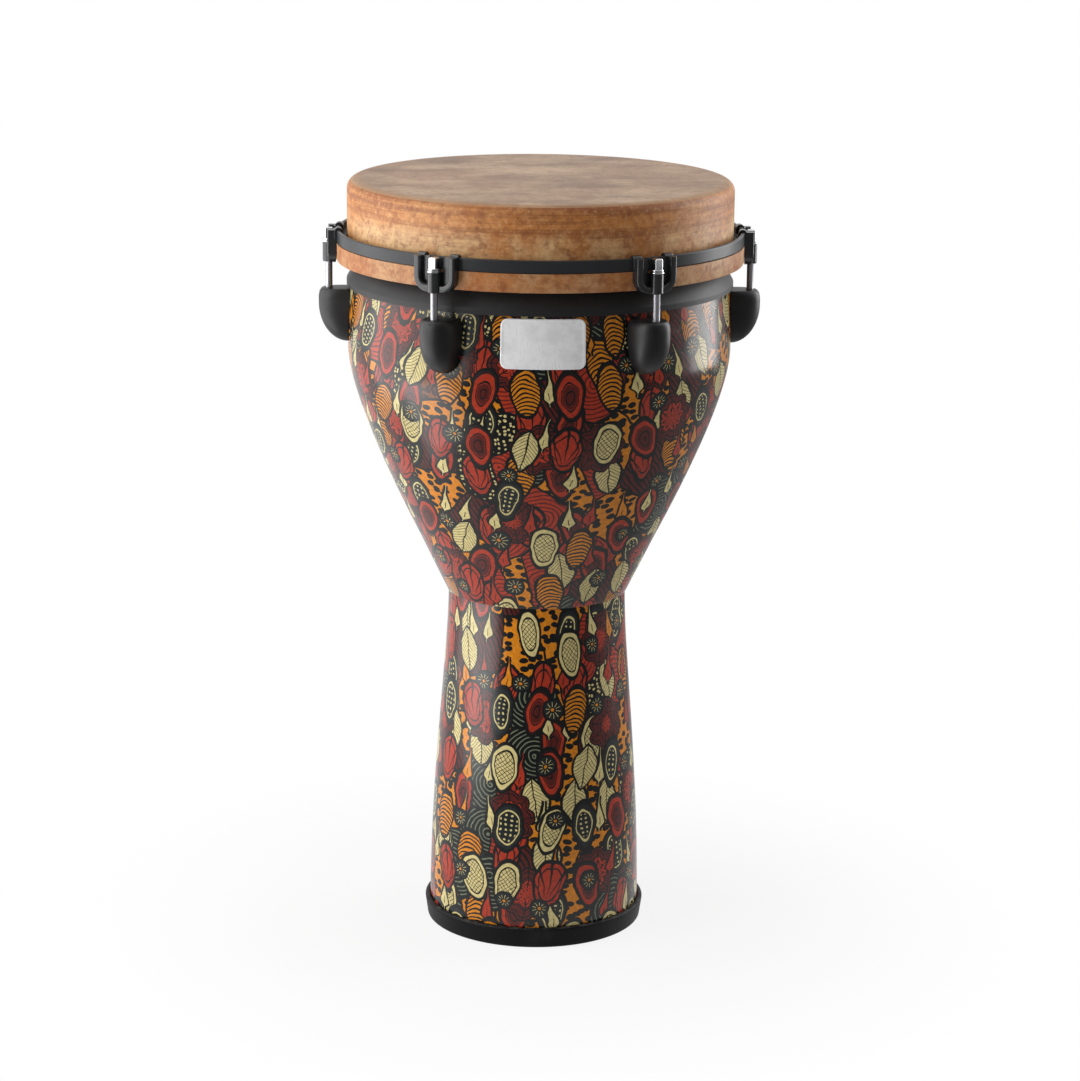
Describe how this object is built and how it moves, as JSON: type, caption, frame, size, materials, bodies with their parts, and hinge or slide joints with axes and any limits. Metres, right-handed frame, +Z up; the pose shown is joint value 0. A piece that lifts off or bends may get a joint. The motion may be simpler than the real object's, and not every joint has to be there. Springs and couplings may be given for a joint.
{
  "type": "goblet hand drum",
  "caption": "Goblet-shaped hand drum with a printed two-part shell, a skin-look drumhead, a counterhoop with claws, and key-turned tension rods that draw the head down.",
  "frame": {"origin": "on the drum's axis, at the underside of the foot ring", "axes": "+Z up along the drum's axis, -Y towards the front, lug 1 on +X and the others every 60 degrees anticlockwise seen from above"},
  "size_m": [0.35, 0.3206, 0.61],
  "materials": {
    "printed_shell": "satin printed covering in red, orange, cream and near-black",
    "foot_rubber": "matt black rubber",
    "black_moulding": "satin black moulding",
    "drum_film": "skin-look film, mottled brown",
    "hoop_fibre": "matt brown fibre",
    "black_steel": "satin black powder coat",
    "chrome": "polished chrome plate",
    "nut_brass": "machined",
    "zinc_screw": "zinc plated"
  },
  "bodies": {
    "shell": {"foot_ring": "foot_rubber", "stem_shell": "printed_shell", "bowl_shell": "printed_shell", "bearing_edge_ring": "black_moulding", "lug_casing_1": "black_moulding", "lug_casing_2": "black_moulding", "lug_casing_3": "black_moulding", "lug_casing_4": "black_moulding", "lug_casing_5": "black_moulding", "lug_casing_6": "black_moulding", "swivel_nut_1": "nut_brass", "swivel_nut_2": "nut_brass", "swivel_nut_3": "nut_brass", "swivel_nut_4": "nut_brass", "swivel_nut_5": "nut_brass", "swivel_nut_6": "nut_brass", "lug_screw_1_upper": "zinc_screw", "lug_screw_1_lower": "zinc_screw", "lug_screw_2_upper": "zinc_screw", "lug_screw_2_lower": "zinc_screw", "lug_screw_3_upper": "zinc_screw", "lug_screw_3_lower": "zinc_screw", "lug_screw_4_upper": "zinc_screw", "lug_screw_4_lower": "zinc_screw", "lug_screw_5_upper": "zinc_screw", "lug_screw_5_lower": "zinc_screw", "lug_screw_6_upper": "zinc_screw", "lug_screw_6_lower": "zinc_screw"},
    "head": {"head_film": "drum_film", "flesh_hoop": "hoop_fibre", "counterhoop": "black_steel", "claw_1": "black_steel", "claw_2": "black_steel", "claw_3": "black_steel", "claw_4": "black_steel", "claw_5": "black_steel", "claw_6": "black_steel", "rod_washer_1": "chrome", "rod_washer_2": "chrome", "rod_washer_3": "chrome", "rod_washer_4": "chrome", "rod_washer_5": "chrome", "rod_washer_6": "chrome"},
    "rod_1": {"tension_rod_1": "chrome"},
    "rod_2": {"tension_rod_2": "chrome"},
    "rod_3": {"tension_rod_3": "chrome"},
    "rod_4": {"tension_rod_4": "chrome"},
    "rod_5": {"tension_rod_5": "chrome"},
    "rod_6": {"tension_rod_6": "chrome"}
  },
  "joints": [
    {"name": "tuning", "type": "slide", "parent": "shell", "child": "head", "axis": [0, 0, 1], "range_m": [0, 0.012]},
    {"name": "rod_1_turn", "type": "hinge", "parent": "head", "child": "rod_1", "pos_m": [0.1667, 0, 0.55], "axis": [0, 0, 1], "range_deg": [0, 4090]},
    {"name": "rod_2_turn", "type": "hinge", "parent": "head", "child": "rod_2", "pos_m": [0.08335, 0.14437, 0.55], "axis": [0, 0, 1], "range_deg": [0, 4090]},
    {"name": "rod_3_turn", "type": "hinge", "parent": "head", "child": "rod_3", "pos_m": [-0.08335, 0.14437, 0.55], "axis": [0, 0, 1], "range_deg": [0, 4090]},
    {"name": "rod_4_turn", "type": "hinge", "parent": "head", "child": "rod_4", "pos_m": [-0.1667, 0, 0.55], "axis": [0, 0, 1], "range_deg": [0, 4090]},
    {"name": "rod_5_turn", "type": "hinge", "parent": "head", "child": "rod_5", "pos_m": [-0.08335, -0.14437, 0.55], "axis": [0, 0, 1], "range_deg": [0, 4090]},
    {"name": "rod_6_turn", "type": "hinge", "parent": "head", "child": "rod_6", "pos_m": [0.08335, -0.14437, 0.55], "axis": [0, 0, 1], "range_deg": [0, 4090]}
  ],
  "couplings": [
    {"joint": "rod_1_turn", "follows": "tuning", "rad_per_m": 5938.7},
    {"joint": "rod_2_turn", "follows": "tuning", "rad_per_m": 5938.7},
    {"joint": "rod_3_turn", "follows": "tuning", "rad_per_m": 5938.7},
    {"joint": "rod_4_turn", "follows": "tuning", "rad_per_m": 5938.7},
    {"joint": "rod_5_turn", "follows": "tuning", "rad_per_m": 5938.7},
    {"joint": "rod_6_turn", "follows": "tuning", "rad_per_m": 5938.7}
  ]
}
